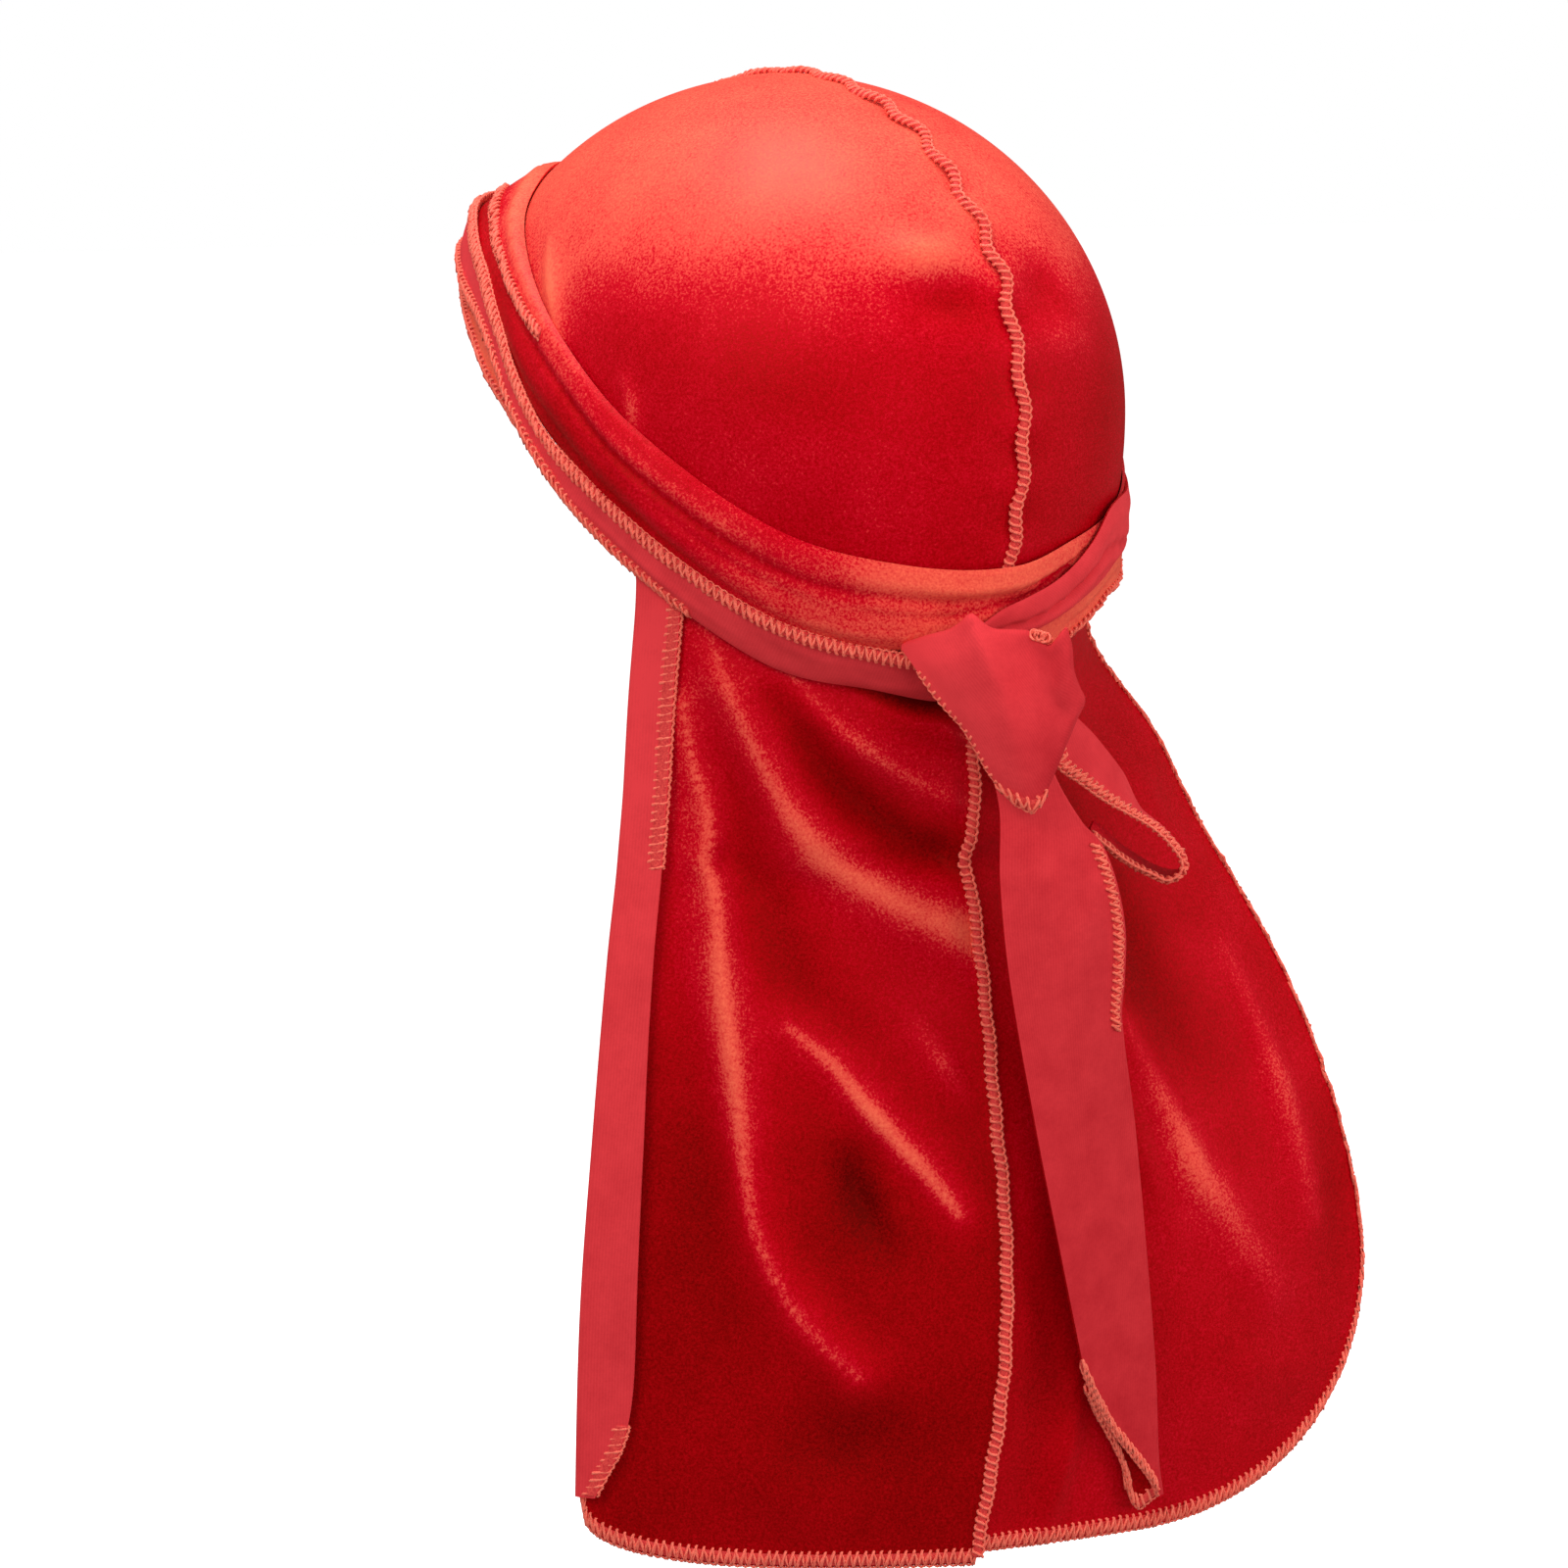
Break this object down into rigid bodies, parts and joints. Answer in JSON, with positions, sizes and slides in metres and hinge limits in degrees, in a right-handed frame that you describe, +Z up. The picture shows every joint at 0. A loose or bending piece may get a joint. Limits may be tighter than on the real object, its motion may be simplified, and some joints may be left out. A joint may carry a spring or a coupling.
{
  "type": "long-tail bandana cap",
  "caption": "Velvet long-tail bandana cap (durag), worn and tied: two-panel crown with exposed centre seam, wide tail, wound ties knotted at the back.",
  "frame": {"origin": "inside of the crown at its highest point, where the top of the wearer's head touches it", "axes": "+Z up, the wearer faces -Y, the wearer's left is +X"},
  "size_m": [0.2156, 0.2135, 0.3887],
  "materials": {
    "velvet": "deep red stretch velvet with a short glossy pile",
    "knit_back": "matte fine knit, the velvet's wrong side",
    "overlock_thread": "coral overlock stitching"
  },
  "bodies": {
    "root": {"left_panel": "velvet", "right_panel": "velvet", "centre_seam": "overlock_thread", "left_tie_first_pass": "velvet", "left_tie_second_pass": "knit_back", "right_tie_first_pass": "velvet", "right_tie_second_pass": "knit_back", "tie_knot": "knit_back", "tie_loop": "knit_back", "short_tie_end": "knit_back", "long_tie_end": "knit_back"}
  },
  "joints": []
}
